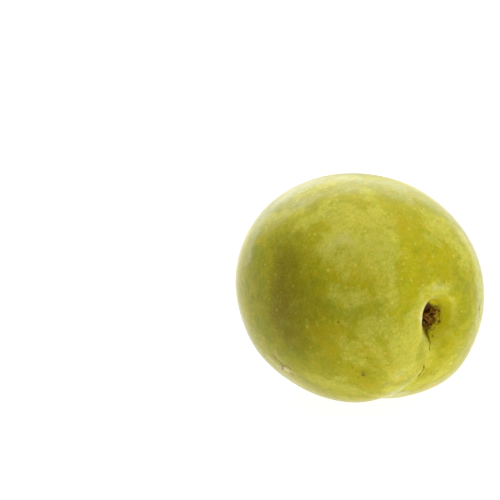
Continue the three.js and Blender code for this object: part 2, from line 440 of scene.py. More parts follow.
goldStrokes = [
    ((416, 252), (442, 266), 10, 0.95), ((404, 215), (410, 228), 7, 0.75),
    # ((288, 268), (300, 298)) here and ((288, 278), (294, 300)) below paint a warm tint on the left
    # edge: partly the skin's own tint, partly a painted reflection of warm light.
    ((288, 268), (300, 298), 10, 0.80), ((312, 330), (333, 332), 10, 0.90),
    ((350, 200), (365, 205), 9, 0.60), ((368, 350), (400, 356), 8, 0.65),
    ((348, 212), (370, 223), 8, 0.70), ((360, 270), (366, 288), 7, 0.55),
    ((428, 352), (436, 362), 6, 0.50), ((298, 337), (330, 346), 10, 1.00),
    ((288, 278), (294, 300), 7, 0.60), ((434, 262), (446, 272), 8, 0.80),
    ((390, 204), (398, 222), 8, 0.80), ((300, 226), (312, 236), 7, 0.60),
    ((418, 232), (424, 238), 5, 0.60), ((354, 372), (368, 388), 7, 0.60),
    ((338, 218), (350, 256), 6, 0.40), ((342, 258), (358, 268), 8, 0.50),
    ((382, 364), (396, 382), 7, 0.60), ((304, 338), (318, 356), 10, 0.80),
    ((426, 326), (431, 338), 4, 0.50),
]
# Deeper green. The wide strokes down the left edge, across 256 to 300, also paint shade on that side.
greenAndShadeStrokes = [
    ((402, 284), (408, 322), 8, 0.75), ((272, 242), (296, 236), 10, 0.80),
    ((452, 316), (468, 325), 12, 0.70), ((284, 300), (300, 345), 24, 1.00),
    ((355, 308), (372, 322), 9, 0.60), ((460, 282), (472, 292), 9, 0.70),
    ((328, 214), (334, 222), 5, 0.60), ((374, 308), (385, 312), 7, 0.50),
    ((310, 290), (340, 318), 18, 0.70), ((282, 244), (292, 264), 9, 0.80),
    ((456, 220), (480, 284), 14, 0.95), ((464, 288), (474, 316), 9, 0.70),
    ((442, 322), (448, 336), 6, 0.50), ((356, 290), (358, 298), 5, 0.50),
    ((370, 280), (372, 296), 5, 0.30), ((256, 258), (260, 322), 19, 0.90),
    ((266, 334), (280, 348), 12, 0.70), ((440, 226), (458, 250), 12, 0.45),
]
# Painted shade, partly a brown bruise: the strokes on the left cheek paint shade there, the first
# stroke by the hollow paints shade under its upper rim, the last one a brown stain.
shadeAndBruiseStrokes = [
    ((283, 264), (284, 308), 19, 1.00), ((279, 320), (291, 336), 16, 0.75),
    ((300, 264), (312, 322), 20, 0.32), ((292, 268), (296, 296), 9, 0.35),
    ((431.5, 302), (439, 306), 2.6, 0.65), ((436, 308), (439, 322), 2.4, 0.45),
]
# A painted highlight along the crest of the hollow's near lip.
lipHighlightStrokes = [
    ((425.5, 304.0), (422.0, 311.0), 2.6, 0.35), ((422.0, 311.0), (421.2, 318.0), 3.0, 0.38),
    ((421.2, 318.0), (421.4, 325.0), 3.0, 0.28), ((421.4, 325.0), (422.8, 332.0), 2.6, 0.20),
]
# The lighter painted wall colour, laid over the top of the hollow's painted floor shade.
wallStrokes = [
    ((428.0, 301.4), (432.0, 301.6), 2.2, 0.95), ((432.0, 301.6), (437.5, 303.8), 2.2, 0.90),
]
grazeStrokes = [
    ((283.8, 368.6), (289.8, 371.6), 3.0, 1.00), ((285.0, 368.8), (288.6, 370.6), 2.0, 1.00),
    ((268, 357), (281, 369), 3.5, 0.60), ((281, 371), (296, 382), 3.5, 0.55),
    ((275.0, 352.0), (279.0, 359.5), 1.6, 0.45), ((481.2, 305), (481.2, 312), 1.5, 0.70),
    ((478, 314), (476, 326), 3.0, 0.30),
]

# What is painted: the strokes laid and wiped off again, how many more on the sides that the camera
# doesn't see and how strong those get, and how crisp the edges are.
paints = {
    "bloomPaint": {"laid": bloomStrokes, "wiped": wipedStrokes, "laidBehind": 70, "wipedBehind": 30},
    "frostAndRimLightPaint": {"laid": frostAndRimLightStrokes, "laidBehind": 8, "sharpness": 1.6, "strongest": 0.3},
    "limePaint": {"laid": limeStrokes, "laidBehind": 14, "sharpness": 2.2},
    "goldPaint": {"laid": goldStrokes, "laidBehind": 26},
    "greenAndShadePaint": {"laid": greenAndShadeStrokes, "laidBehind": 26},
    "shadeAndBruisePaint": {"laid": shadeAndBruiseStrokes, "laidBehind": 2, "sharpness": 1.8, "strongest": 0.4},
    "grazePaint": {"laid": grazeStrokes, "laidBehind": 3, "strongest": 0.5},
    "lipHighlightPaint": {"laid": lipHighlightStrokes, "sharpness": 2.0},
    "wallPaint": {"laid": wallStrokes, "sharpness": 2.5},
}
hiddenStrokes = {
    "rowLength": 4,            # strokes in a row
    "crook": 0.12,             # how far one end of a stroke turns from the other
    "outOfSight": 0.05,        # highest cosine to the camera's side
    "halfWidth": (0.7, 2.7),   # in mm
    "weakest": 0.35,           # share of the strongest
    "aimFrom": 0.1,            # metres from the belly, well outside the skin
}


def strokeOver(points, start, end, width, sharpness):
    # 1 on the stroke's middle line, falling to 0 beyond its half width
    run = end - start
    reach = points - start
    share = np.clip(reach @ run / max(run @ run, 1e-12), 0, 1)
    gap = np.linalg.norm(reach - share[:, None] * run, axis=1) / width
    return np.exp(-gap ** sharpness)


def randomVector(spread):
    return Vector((random.gauss(0, spread), random.gauss(0, spread), random.gauss(0, spread)))


def behind(count, strongest):
    # strokes scattered over the sides that the camera doesn't see, in short crooked rows
    strokes = []
    back = cameraAxes()[2]
    hidden = hiddenStrokes
    while len(strokes) < count:
        aim = randomVector(1).normalized()
        for step in range(hidden["rowLength"]):
            turned = (aim + randomVector(hidden["crook"])).normalized()
            if max(aim.dot(back), turned.dot(back)) < hidden["outOfSight"]:
                outside = [(belly + way * hidden["aimFrom"], -way) for way in (aim, turned)]
                ends = [skinTree.ray_cast(*ray)[0] for ray in outside]
                width = random.uniform(*hidden["halfWidth"]) * mm
                strength = random.uniform(hidden["weakest"], 1) * strongest
                strokes.append((*ends, width, strength))
            aim = turned
    return strokes


def paint(name, laid, wiped=(), laidBehind=0, wipedBehind=0, sharpness=3.0, strongest=0.8):
    count = len(skin.data.vertices)
    points = np.empty(count * 3, np.float32)
    skin.data.vertices.foreach_get("co", points)
    points = points.reshape(-1, 3)
    frameWidth = cameraSetup["distance"] * cameraSetup["sensor"] / cameraSetup["lens"]
    pixel = frameWidth / cameraSetup["frameSize"]
    bare = np.ones(count, np.float32)
    kept = np.ones(count, np.float32)
    for strokes, hidden, layer in ((laid, laidBehind, bare), (wiped, wipedBehind, kept)):
        placed = []
        for start, end, width, strength in strokes:
            placed.append((onSkin(*start), onSkin(*end), width * pixel, strength))
        for start, end, width, strength in placed + behind(hidden, strongest):
            mark = strokeOver(points, np.array(start), np.array(end), width, sharpness)
            layer *= 1 - strength * mark
    skin.data.attributes.new(name, "FLOAT", "POINT").data.foreach_set("value", (1 - bare) * kept)


for name, settings in paints.items():
    paint(name, **settings)
print("skin painted:", len(paints), "paints")


# How the edge of each mark fades: distance in its radii where it starts, and where it is full.
markEdges = {
    "dot": (1.3, 0.3),
    "spot": (1.3, 0.4),
    "line": (1.0, 0.2),
}
dotUnevenness = {
    "smallest": 0.4,           # share of the radius; the largest is 1 more
    "faintest": 0.4,           # share of the strength
}


def addNode(tree, kind, values=None, **settings):
    node = tree.nodes.new(kind)
    for key, value in settings.items():
        setattr(node, key, value)
    for key, value in (values or {}).items():
        if isinstance(value, bpy.types.NodeSocket):
            tree.links.new(value, node.inputs[key])
        else:
            node.inputs[key].default_value = value
    return node


def calc(tree, operation, a, b=0.0, c=0.0, clamp=False):
    values = {0: a, 1: b, 2: c}
    node = addNode(tree, "ShaderNodeMath", values, operation=operation, use_clamp=clamp)
    return node.outputs[0]


def add(tree, a, b, clamp=False):
    return calc(tree, "ADD", a, b, clamp=clamp)


def times(tree, a, b, clamp=False):
    return calc(tree, "MULTIPLY", a, b, clamp=clamp)


def between(tree, share, low, high):
    return calc(tree, "MULTIPLY_ADD", share, high - low, low)


def attribute(tree, name):
    return addNode(tree, "ShaderNodeAttribute", attribute_name=name).outputs["Fac"]


def vector(tree, operation, a, b=(0, 0, 0)):
    return addNode(tree, "ShaderNodeVectorMath", {0: a, 1: b}, operation=operation).outputs


def ease(tree, value, start, end, low=0.0, high=1.0):
    values = {"Value": value, "From Min": start, "From Max": end, "To Min": low, "To Max": high}
    node = addNode(tree, "ShaderNodeMapRange", values, interpolation_type="SMOOTHSTEP")
    return node.outputs["Result"]


def blendColour(tree, factor, a, b):
    # of a Mix node's sockets, 6 and 7 take the colours and output 2 gives one
    ends = [c if isinstance(c, bpy.types.NodeSocket) else (*c, 1) for c in (a, b)]
    values = {0: factor, 6: ends[0], 7: ends[1]}
    return addNode(tree, "ShaderNodeMix", values, data_type="RGBA").outputs[2]


def newGroup(name, inputs, outputs):
    tree = bpy.data.node_groups.new(name, "ShaderNodeTree")
    for label, kind, value in inputs:
        socket = tree.interface.new_socket(label, in_out="INPUT", socket_type=kind)
        if value is not None:
            socket.default_value = value
    for label, kind in outputs:
        tree.interface.new_socket(label, in_out="OUTPUT", socket_type=kind)
    return tree, addNode(tree, "NodeGroupInput").outputs, addNode(tree, "NodeGroupOutput")


def useGroup(tree, group, values):
    return addNode(tree, "ShaderNodeGroup", values, node_tree=group).outputs["Mask"]


def makeMottle():
    # soft noise between two levels, its grain given in millimetres
    tree, given, out = newGroup("mottle", [
        ("Position", "NodeSocketVector", None),
        ("Size", "NodeSocketFloat", 1.0),
        ("Detail", "NodeSocketFloat", 2.0),
        ("Roughness", "NodeSocketFloat", 0.55),
        ("Start", "NodeSocketFloat", 0.4),
        ("End", "NodeSocketFloat", 0.6),
    ], [("Mask", "NodeSocketFloat")])
    field = addNode(tree, "ShaderNodeTexNoise", {
        "Vector": given["Position"],
        "Scale": calc(tree, "DIVIDE", 1.0, given["Size"]),
        "Detail": given["Detail"],
        "Roughness": given["Roughness"],
    })
    tree.links.new(ease(tree, field.outputs["Fac"], given["Start"], given["End"]), out.inputs["Mask"])
    return tree


def makeDots():
    # round dots at random, of uneven size and strength
    tree, given, out = newGroup("dots", [
        ("Position", "NodeSocketVector", None),
        ("Spacing", "NodeSocketFloat", 1.5),
        ("Radius", "NodeSocketFloat", 0.2),
        ("Share", "NodeSocketFloat", 0.5),
    ], [("Mask", "NodeSocketFloat")])
    cells = addNode(tree, "ShaderNodeTexVoronoi", {
        "Vector": given["Position"],
        "Scale": calc(tree, "DIVIDE", 1.0, given["Spacing"]),
        "Randomness": 1.0,
    })
    chance = addNode(tree, "ShaderNodeSeparateColor", {0: cells.outputs["Color"]}).outputs
    size = add(tree, chance[0], dotUnevenness["smallest"])
    radius = times(tree, given["Radius"], size)
    gap = times(tree, cells.outputs["Distance"], given["Spacing"])
    dot = ease(tree, calc(tree, "DIVIDE", gap, radius), *markEdges["dot"])
    present = calc(tree, "LESS_THAN", chance[1], given["Share"])
    strength = times(tree, present, between(tree, chance[2], dotUnevenness["faintest"], 1))
    tree.links.new(times(tree, dot, strength), out.inputs["Mask"])
    return tree


def makeSpot():
    # a small round mark with a soft edge
    tree, given, out = newGroup("spot", [
        ("Position", "NodeSocketVector", None),
        ("Centre", "NodeSocketVector", None),
        ("Radius", "NodeSocketFloat", 0.3),
    ], [("Mask", "NodeSocketFloat")])
    gap = vector(tree, "DISTANCE", given["Position"], given["Centre"])["Value"]
    share = calc(tree, "DIVIDE", gap, given["Radius"])
    tree.links.new(ease(tree, share, *markEdges["spot"]), out.inputs["Mask"])
    return tree


def makeLine():
    # a thin line from one point to another
    tree, given, out = newGroup("thinLine", [
        ("Position", "NodeSocketVector", None),
        ("From", "NodeSocketVector", None),
        ("To", "NodeSocketVector", None),
        ("Width", "NodeSocketFloat", 0.1),
    ], [("Mask", "NodeSocketFloat")])
    run = vector(tree, "SUBTRACT", given["To"], given["From"])["Vector"]
    reach = vector(tree, "SUBTRACT", given["Position"], given["From"])["Vector"]
    ahead = vector(tree, "DOT_PRODUCT", reach, run)["Value"]
    length = vector(tree, "DOT_PRODUCT", run, run)["Value"]
    share = calc(tree, "DIVIDE", ahead, length, clamp=True)
    foot = addNode(tree, "ShaderNodeVectorMath", {0: run, "Scale": share}, operation="SCALE")
    gap = vector(tree, "DISTANCE", reach, foot.outputs["Vector"])["Value"]
    gap = calc(tree, "DIVIDE", gap, given["Width"])
    tree.links.new(ease(tree, gap, *markEdges["line"]), out.inputs["Mask"])
    return tree


mottleGroup = makeMottle()
dotsGroup = makeDots()
spotGroup = makeSpot()
lineGroup = makeLine()


def newMaterial(name):
    material = bpy.data.materials.new(name)
    material.use_nodes = True
    material.node_tree.nodes.clear()
    return material, material.node_tree


def millimetres(tree):
    place = addNode(tree, "ShaderNodeTexCoord").outputs["Object"]
    return mapped(tree, place, scale=(1 / mm, 1 / mm, 1 / mm))


def mapped(tree, place, move=(0, 0, 0), turn=(0, 0, 0), scale=(1, 1, 1)):
    values = {"Vector": place, "Location": move, "Rotation": turn, "Scale": scale}
    return addNode(tree, "ShaderNodeMapping", values).outputs["Vector"]


# The skin: green and yellow flesh colour, pale dots, a waxy bloom over it, its small blemishes, and
# painted shade, rim light and highlights.

skinLook = {
    "green": (0.36, 0.345, 0.003),
    "yellow": (0.49, 0.430, 0.003),
    "gold": (0.53, 0.41, 0.002),
    "deepGreen": (0.24, 0.26, 0.002),
    "shadeAndBruise": (0.22, 0.165, 0.001),
    "lime": (0.64, 0.595, 0.008),
    "warm": (0.50, 0.365, 0.002),
    "cool": (0.37, 0.405, 0.004),
    "hollowPaintedLight": (0.59, 0.52, 0.006),
    "dot": (0.76, 0.69, 0.10),
    "bloom": (0.80, 0.765, 0.145),
    "frostAndRimLight": (0.80, 0.85, 0.66),
    "speck": (0.12, 0.07, 0.003),
    "russet": (0.24, 0.155, 0.006),
    "crack": (0.10, 0.062, 0.001),
    "paleCork": (0.72, 0.60, 0.27),
    "lipHighlight": (0.88, 0.81, 0.36),
    "floorShadeDark": (0.075, 0.032, 0.004),
}

# Layers on the skin, from below: colour, how far it covers, and where its mask begins and is full.
skinLayers = {
    "gold": ("gold", 0.7, 0.1, 1.1),
    "green": ("deepGreen", 0.7, 0.1, 1.1),
    "moss": ("deepGreen", 0.20),
    "lime": ("lime", 0.5, 0.0, 1.1),
    "warm": ("warm", 0.5, 0.50, 0.90),
    "cool": ("cool", 0.5, 0.50, 0.10),
    "smudge": ("deepGreen", 0.45),
    "shadeAndBruise": ("shadeAndBruise", 0.9),
    # painted light: the hollow's wall is painted lighter yellow, where little light gets in
    "hollow": ("hollowPaintedLight", 0.9, 0.1, 0.6),
    "pit": ("deepGreen", 0.45),
    "frostAndRimLight": ("frostAndRimLight", 0.75),
    "paleScuff": ("bloom", 0.16),
    "darkScuff": ("deepGreen", 0.16),
    "paleFleck": ("dot", 0.16),
    "darkFleck": ("deepGreen", 0.16),
    "dot": ("dot", 0.8),
    "lip": ("lipHighlight", 1.0),
    "graze": ("paleCork", 0.9),
    "tongue": ("russet", 0.45, 0.82, 0.97),
    "floor": ("russet", 0.9, 0.955, 0.995),
    "floorShade": ("floorShadeDark", 1.0),
    "wall": ("hollowPaintedLight", 1.0),
    "split": ("speck", 0.95),
    "speck": ("speck", 1.0),
    "thinSplit": ("crack", 0.90),
    "curl": ("crack", 0.70),
}
# Noise on the skin: grain in mm, detail, level where it begins and where it is full, roughness,
# and how far it swings what it is added to.
grains = {
    "broad": (5.0, 4.0, 0.30, 0.70, 0.55, 0),
    "close": (0.9, 4.0, 0.20, 0.80, 0.80, 1.2),
    "gold": (2.4, 4.0, 0.25, 0.75, 0.55, 1.1),
    "green": (2.0, 4.0, 0.25, 0.75, 0.55, 1.0),
    "moss": (0.6, 3.0, 0.40, 0.70, 0.55, 0),
    "lime": (1.6, 3.0, 0.25, 0.75, 0.55, 0.5),
    "tint": (1.5, 5.0, 0.25, 0.75, 0.75, 0),
    "smudge": (1.3, 3.0, 0.52, 0.72, 0.55, 0),
    "smudgeArea": (5.0, 2.0, 0.40, 0.60, 0.55, 0),
    "bloomEdge": (1.8, 5.0, 0.20, 0.80, 0.55, 0.45),
    "bloomDrift": (6.0, 3.0, 0.20, 0.80, 0.55, 0.25),
    "bloomSmear": (1.3, 4.0, 0.30, 0.70, 0.55, 0.25),
    "powder": (1.0, 5.0, 0.25, 0.75, 0.80, 0),
    "stipple": (0.36, 2.0, 0.30, 0.70, 0.70, 0),
    "frostAndRimLight": (2.2, 5.0, 0.25, 0.75, 0.55, 0.18),
    "scuff": (1.0, 3.0, 0.58, 0.72, 0.70, 0),
    "paleFleck": (0.32, 2.0, 0.50, 0.70, 0.55, 0),
    "darkFleck": (0.30, 2.0, 0.50, 0.70, 0.55, 0),
    "tongue": (0.9, 3.0, 0.30, 0.70, 0.55, 0.12),
    "wander": (1.2, 2.0, 0.20, 0.80, 0.55, 0.2),
    "pores": (0.35, 3.0, 0.20, 0.80, 0.55, 0),
    "waves": (1.3, 2.0, 0.20, 0.80, 0.55, 0),
}
# How the noise is moved, turned and stretched for a few of them.
grainPlaces = {
    "other": {"move": (31, -17, 23)},
    "tint": {"move": (-12, 41, 8)},
    "bloomSmear": {"turn": (0.4, 0.9, 0.2), "scale": (2.4, 0.4, 1.6)},
    "paleScuff": {"turn": (1.1, 0.3, 0.7), "scale": (5.0, 0.6, 3.0)},
    "darkScuff": {"turn": (0.2, 1.2, 2.1), "scale": (4.0, 0.6, 3.0)},
}
# Dots at random: spacing and radius in mm, share of the places that have one, strength.
dotKinds = {
    "large": (1.7, 0.28, 0.6, 0.9),
    "small": (1.0, 0.20, 0.5, 0.8),
    "tiny": (0.55, 0.13, 0.5, 0.45),
    "pit": (1.3, 0.24, 0.4, 1.0),
}
dotFade = {
    "range": (0.2, 1.0),       # paint of shade and bruise, or of green and shade, where dots begin to fade and have faded
    "kept": 0.4,
    "clearRadius": 0.21,       # in mm
}
bloomLook = {
    "thin": 0.02,              # cover where it is wiped off
    "thick": 0.48,
    "crispEdge": (0.30, 0.48),
    "crispShare": 0.15,
    "softEdge": (-0.2, 1.2),
    "powder": (0.4, 1.6),      # least and most that it multiplies the film by
    "stipple": (0.7, 1.3),
    "frostAndRimLightEdge": (0.0, 0.15),
    "frostAndRimLightEven": 0.5,          # share of the frost and painted rim light that powder and stipple leave alone
}
hollowLook = {
    "shadeDepth": (0.985, 1.0),    # of the well
    "shadeSide": (1.2, -0.2),      # in mm along Y
    "splitRun": (5.0, 2.5),        # mm from the stalk axis, from narrow to wide
    "splitWidth": (0.20, 0.90),    # in mm
    "splitEnd": (6.6, 3.0),        # mm from the stalk axis, from none to full
}
lineLook = {
    "splitWidth": 0.25,        # in mm
    "curlWidth": 0.28,
    "frayScale": 1.6,
    "frayDetail": 2.0,
    "fray": 0.8,               # in mm
}
skinShine = {
    "roughness": 0.42,
    "bloomRoughness": 0.62,
    "roughFrom": (0.0, 0.8),   # film of bloom
    "poreHeight": 0.3,
    "dotHeight": 0.5,
    "waveHeight": 0.8,
    "bumpStrength": 0.6,
    "bumpDepth": 0.03 * mm,
    "refraction": 1.2,
    "shineTint": (1.0, 0.95, 0.30, 1),
    "translucence": 0.2,
    "translucenceColour": (1.0, 0.8, 0.25),
    "translucenceDepth": 1.6 * mm,
    "sheen": 1.0,
    "sheenRoughness": 0.24,
    "sheenTint": (1.0, 0.99, 0.92, 1),
}

# Dark specks: across, down, radius in mm, strength.
specks = [
    (363.3, 375.0, 0.34, 0.78), (363.0, 372.6, 0.24, 0.50), (363.2, 374.4, 1.0, 0.15),
    (358.2, 377.5, 0.30, 0.32), (352.8, 367.8, 0.25, 0.4), (367.4, 358.3, 0.22, 0.4),
    (338.2, 322.2, 0.22, 0.7), (343.1, 249.1, 0.30, 0.2), (390.4, 227.8, 0.22, 0.4),
    (386.0, 216.8, 0.3, 0.15), (350.3, 304.5, 0.2, 0.35), (284.5, 268.0, 0.3, 0.4),
    (424.8, 327.4, 0.36, 0.95), (425.8, 329.6, 0.30, 0.95), (427.6, 331.8, 0.22, 0.5),
]
# The clearest pale dots: across, down, strength.
clearDots = [
    (371.6, 267.6, 0.8), (384.1, 262.4, 0.9), (393.1, 267.6, 1.0), (401.5, 279.1, 0.7),
    (406.5, 258.2, 0.8), (411.4, 280.4, 0.7), (415.1, 243.7, 0.6), (422.5, 285.2, 1.0),
    (429.4, 277.2, 0.5), (392.5, 302.8, 0.7), (381.3, 320.8, 0.9), (404.7, 248.2, 0.5),
    (387.7, 315.7, 0.7), (367.5, 343.4, 0.6), (384.5, 353.4, 0.6), (413.6, 361.3, 0.5),
    (345.2, 353.0, 0.8), (346.2, 359.6, 0.8), (325.0, 216.0, 0.9), (328.5, 217.0, 0.8),
    (337.0, 200.0, 0.7), (319.0, 206.0, 0.5), (343.5, 256.3, 0.7), (337.7, 273.0, 0.5),
    (345.3, 307.5, 0.5),
]
# An old graze low on the near cheek and a scratch at the far edge: ends of their thin splits.
splits = [
    ((272.5, 354.2), (275.2, 357.8)), ((275.2, 357.8), (278.8, 361.1)),
    ((278.8, 361.1), (282.7, 365.0)), ((282.7, 365.0), (283.4, 368.0)),
    ((283.4, 368.0), (282.4, 369.8)), ((282.7, 365.0), (287.8, 366.5)),
    ((287.8, 366.5), (291.1, 369.8)), ((289.9, 371.9), (292.0, 374.3)),
    ((292.0, 374.3), (294.7, 376.1)), ((479.2, 306.0), (479.8, 312.5)),
    ((482.5, 309.0), (481.6, 317.9)), ((481.5, 317.9), (480.3, 322.0)),
    ((423.0, 370.5), (418.0, 376.0)), ((429.6, 347.6), (429.4, 349.4)),
    ((424.4, 365.0), (423.0, 370.5)),
]
# Curls of russet that the scar sends up the wall of the hollow.
curls = [
    ((434.6, 306.2), (436.4, 306.8)), ((437.4, 310.6), (438.6, 311.6)),
    ((438.6, 311.6), (438.0, 313.0)), ((436.6, 320.6), (439.4, 321.8)),
    ((439.4, 321.8), (438.6, 324.4)), ((432.6, 328.4), (434.4, 327.6)),
    ((429.0, 327.6), (430.8, 329.4)), ((432.2, 335.4), (432.6, 336.4)),
]


def mottle(tree, grain, where):
    values = dict(zip(("Size", "Detail", "Start", "End", "Roughness"), grains[grain]))
    return useGroup(tree, mottleGroup, {"Position": where} | values)


def swing(tree, grain, where):
    return times(tree, calc(tree, "SUBTRACT", mottle(tree, grain, where), 0.5), grains[grain][-1])


def scattered(tree, kind, where):
    spacing, radius, share, strength = dotKinds[kind]
    values = {"Position": where, "Spacing": spacing, "Radius": radius, "Share": share}
    return times(tree, useGroup(tree, dotsGroup, values), strength)


def over(tree, colour, mask, layer):
    top, cover, *edge = skinLayers[layer]
    if edge:
        mask = ease(tree, mask, *edge)
    return blendColour(tree, times(tree, mask, cover, clamp=True), colour, skinLook[top])


def fleshColour(tree, place, other):
    base = add(tree, mottle(tree, "broad", place), swing(tree, "close", place), clamp=True)
    colour = blendColour(tree, base, skinLook["green"], skinLook["yellow"])
    gold = add(tree, attribute(tree, "goldPaint"), swing(tree, "gold", other))
    colour = over(tree, colour, gold, "gold")
    # deeper green, and painted shade down the left edge
    green = add(tree, attribute(tree, "greenAndShadePaint"), swing(tree, "green", place))
    colour = over(tree, colour, green, "green")
    colour = over(tree, colour, mottle(tree, "moss", other), "moss")
    lime = add(tree, attribute(tree, "limePaint"), swing(tree, "lime", other))
    colour = over(tree, colour, lime, "lime")
    tint = mottle(tree, "tint", mapped(tree, place, **grainPlaces["tint"]))
    colour = over(tree, colour, tint, "warm")
    colour = over(tree, colour, tint, "cool")
    smudges = times(tree, mottle(tree, "smudge", place), mottle(tree, "smudgeArea", other))
    colour = over(tree, colour, smudges, "smudge")
    # painted shade on the left cheek and under the hollow's upper rim, partly bruise and stain
    colour = over(tree, colour, attribute(tree, "shadeAndBruisePaint"), "shadeAndBruise")
    # painted light: a lighter yellow inside the hollow
    colour = over(tree, colour, attribute(tree, "hollow"), "hollow")
    return over(tree, colour, scattered(tree, "pit", place), "pit")


def paleDots(tree, place, other):
    # of three sizes, fainter on dark skin, and the clearest ones
    dots = scattered(tree, "large", place)
    for kind in ("small", "tiny"):
        dots = calc(tree, "MAXIMUM", dots, scattered(tree, kind, other))
    dark = calc(tree, "MAXIMUM", attribute(tree, "shadeAndBruisePaint"), attribute(tree, "greenAndShadePaint"))
    dots = times(tree, dots, ease(tree, dark, *dotFade["range"], 1.0, dotFade["kept"]))
    for across, down, strength in clearDots:
        centre = onSkin(across, down) / mm
        values = {"Position": place, "Centre": centre, "Radius": dotFade["clearRadius"]}
        clear = times(tree, useGroup(tree, spotGroup, values), strength)
        dots = calc(tree, "MAXIMUM", dots, clear)
    return dots


def bloomFilm(tree, place, other):
    # patches with crisp uneven edges, smears inside them, stippled close up
    smears = mapped(tree, place, **grainPlaces["bloomSmear"])
    field = attribute(tree, "bloomPaint")
    for grain, where in (("bloomEdge", place), ("bloomDrift", other), ("bloomSmear", smears)):
        field = add(tree, field, swing(tree, grain, where))
    crisp = times(tree, ease(tree, field, *bloomLook["crispEdge"]), bloomLook["crispShare"])
    soft = ease(tree, field, *bloomLook["softEdge"])
    film = calc(tree, "MULTIPLY_ADD", soft, 1 - bloomLook["crispShare"], crisp)
    powder = between(tree, mottle(tree, "powder", other), *bloomLook["powder"])
    stipple = between(tree, mottle(tree, "stipple", place), *bloomLook["stipple"])
    film = times(tree, times(tree, film, powder), stipple, clamp=True)
    return film, times(tree, powder, stipple)


def layBloom(tree, colour, film, dusting, place):
    cover = between(tree, film, bloomLook["thin"], bloomLook["thick"])
    colour = blendColour(tree, cover, colour, skinLook["bloom"])
    # frost of thick bloom and painted rim light along the edge
    painted = attribute(tree, "frostAndRimLightPaint")
    frostAndRimLight = add(tree, painted, swing(tree, "frostAndRimLight", place))
    frostAndRimLight = times(tree, frostAndRimLight, ease(tree, painted, *bloomLook["frostAndRimLightEdge"]))
    frostAndRimLight = times(tree, frostAndRimLight, between(tree, dusting, bloomLook["frostAndRimLightEven"], 1))
    return over(tree, colour, frostAndRimLight, "frostAndRimLight")


def layFlecks(tree, colour, dots, place, other):
    for layer, where in (("paleScuff", place), ("darkScuff", other)):
        stretched = mapped(tree, where, **grainPlaces[layer])
        colour = over(tree, colour, mottle(tree, "scuff", stretched), layer)
    colour = over(tree, colour, mottle(tree, "paleFleck", other), "paleFleck")
    colour = over(tree, colour, mottle(tree, "darkFleck", place), "darkFleck")
    return over(tree, colour, dots, "dot")


def layRusset(tree, colour, place):
    # russet on the floor of the hollow and in tongues up its wall, painted shade on the near side of
    # its floor, and the lighter painted wall colour over the top of that shade
    well = attribute(tree, "hollow")
    tongues = add(tree, well, swing(tree, "tongue", place))
    colour = over(tree, colour, tongues, "tongue")
    colour = over(tree, colour, tongues, "floor")
    sideways = addNode(tree, "ShaderNodeSeparateXYZ", {0: place}).outputs["Y"]
    shade = ease(tree, well, *hollowLook["shadeDepth"])
    shade = times(tree, shade, ease(tree, sideways, *hollowLook["shadeSide"]))
    colour = over(tree, colour, shade, "floorShade")
    return over(tree, colour, attribute(tree, "wallPaint"), "wall")


def laySplit(tree, colour, place):
    # the dry split that runs down the suture from the hollow
    off = add(tree, attribute(tree, "fromCrack"), swing(tree, "wander", place))
    run = attribute(tree, "fromAxis")
    width = ease(tree, run, *hollowLook["splitRun"], *hollowLook["splitWidth"])
    split = ease(tree, calc(tree, "DIVIDE", calc(tree, "ABSOLUTE", off), width), 1.0, 0.0)
    split = times(tree, split, ease(tree, run, *hollowLook["splitEnd"]))
    return over(tree, colour, split, "split")


def layMarks(tree, colour, place):
    for across, down, radius, strength in specks:
        values = {"Position": place, "Centre": onSkin(across, down) / mm, "Radius": radius}
        speck = times(tree, useGroup(tree, spotGroup, values), strength)
        colour = over(tree, colour, speck, "speck")
    values = {"Vector": place, "Scale": lineLook["frayScale"], "Detail": lineLook["frayDetail"]}
    fray = addNode(tree, "ShaderNodeTexNoise", values).outputs["Color"]
    fray = vector(tree, "SUBTRACT", fray, (0.5, 0.5, 0.5))["Vector"]
    fray = vector(tree, "MULTIPLY", fray, (lineLook["fray"],) * 3)["Vector"]
    frayed = vector(tree, "ADD", place, fray)["Vector"]
    for lines, width, layer in (
        (splits, lineLook["splitWidth"], "thinSplit"),
        (curls, lineLook["curlWidth"], "curl"),
    ):
        for start, end in lines:
            ends = {"From": onSkin(*start) / mm, "To": onSkin(*end) / mm}
            line = useGroup(tree, lineGroup, {"Position": frayed, "Width": width} | ends)
            colour = over(tree, colour, line, layer)
    return colour


def skinBump(tree, dots, place):
    height = times(tree, mottle(tree, "pores", place), skinShine["poreHeight"])
    height = calc(tree, "MULTIPLY_ADD", dots, skinShine["dotHeight"], height)
    waves = mottle(tree, "waves", place)
    height = calc(tree, "MULTIPLY_ADD", waves, skinShine["waveHeight"], height)
    return addNode(tree, "ShaderNodeBump", {
        "Height": height,
        "Strength": skinShine["bumpStrength"],
        "Distance": skinShine["bumpDepth"],
    }).outputs["Normal"]


